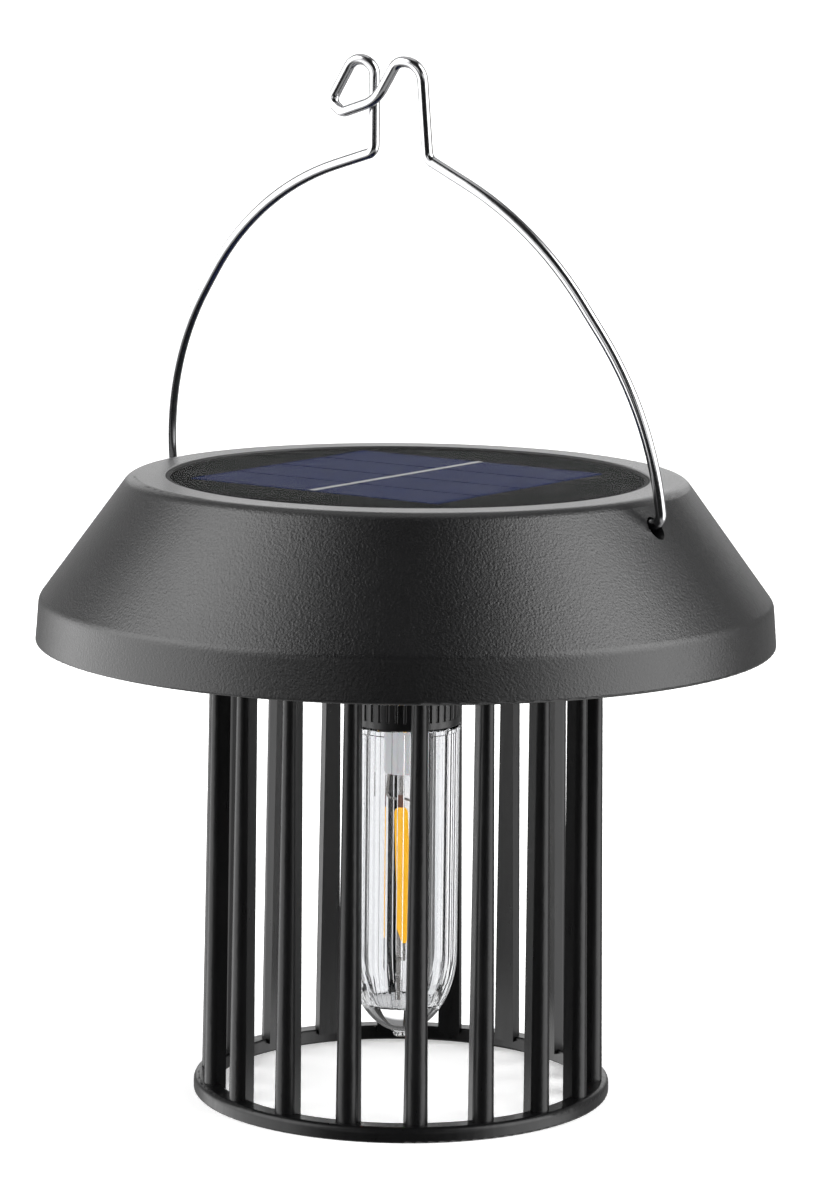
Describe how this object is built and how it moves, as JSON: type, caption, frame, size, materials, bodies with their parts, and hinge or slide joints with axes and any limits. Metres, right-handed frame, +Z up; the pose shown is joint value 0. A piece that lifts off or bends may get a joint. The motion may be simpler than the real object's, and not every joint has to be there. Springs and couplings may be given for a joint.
{
  "type": "solar garden light",
  "caption": "Hanging solar garden light: conical roof with a round solar panel, barred cage round a clear lamp tube, and a swinging wire bail with a hook.",
  "frame": {"origin": "on the lamp's axis, at the level of the cage's foot", "axes": "+Z up along the lamp's axis; the front of the light faces -Y"},
  "size_m": [0.1498, 0.1498, 0.2116],
  "materials": {
    "black_plastic": "moulded, fine grain, satin",
    "socket_plastic": "moulded, satin",
    "panel_resin": "clear cast resin",
    "cell_silicon": "dark blue crystalline cells",
    "tabbing_silver": "tinned ribbon",
    "panel_backing": "dark board",
    "lens_clear": "clear moulded plastic",
    "holder_plastic": "translucent white",
    "filament_phosphor": "amber phosphor",
    "tab_copper": "copper-coloured tab",
    "lead_metal": "nickel plated",
    "seal_rubber": "soft rubber",
    "screw_steel": "zinc plated",
    "wire_stainless": "polished stainless wire",
    "cell_nickel": "nickel plated can",
    "cell_jacket": "shrink sleeve",
    "board_green": "solder mask",
    "chip_black": "moulded epoxy",
    "inductor_ferrite": "ferrite",
    "switch_black": "moulded",
    "switch_knob": "moulded, ribbed",
    "wire_insulation": "insulated wire"
  },
  "bodies": {
    "root": {"roof_shell": "black_plastic", "cage": "black_plastic", "base_plate": "black_plastic", "battery_door": "black_plastic", "lamp_socket": "socket_plastic", "battery_holder": "socket_plastic", "panel_cover": "panel_resin", "solar_cells": "cell_silicon", "cell_tabbing": "tabbing_silver", "panel_board": "panel_backing", "lens_tube": "lens_clear", "led_holder": "holder_plastic", "led_filament": "filament_phosphor", "filament_tab": "tab_copper", "filament_leads": "lead_metal", "filament_stay": "lead_metal", "contact_plate": "lead_metal", "contact_spring": "lead_metal", "panel_seal": "seal_rubber", "base_seal": "seal_rubber", "lens_seal": "seal_rubber", "door_seal": "seal_rubber", "base_screws": "screw_steel", "cage_screws": "screw_steel", "socket_screws": "screw_steel", "door_screws": "screw_steel", "board_screws": "screw_steel", "battery_can": "cell_nickel", "battery_jacket": "cell_jacket", "circuit_board": "board_green", "control_chip": "chip_black", "boost_inductor": "inductor_ferrite", "switch_housing": "switch_black", "panel_leads": "wire_insulation", "battery_leads": "wire_insulation", "lamp_leads": "wire_insulation"},
    "bail": {"bail_wire": "wire_stainless"},
    "switch_slider": {"switch_knob": "switch_knob"}
  },
  "joints": [
    {"name": "bail_swing", "type": "hinge", "parent": "root", "child": "bail", "pos_m": [0, 0, 0.1224], "axis": [0.8039, -0.5948, 0], "range_deg": [-96.5, 79.5]},
    {"name": "switch_slide", "type": "slide", "parent": "root", "child": "switch_slider", "axis": [1, 0, 0], "range_m": [0, 0.0025]}
  ]
}
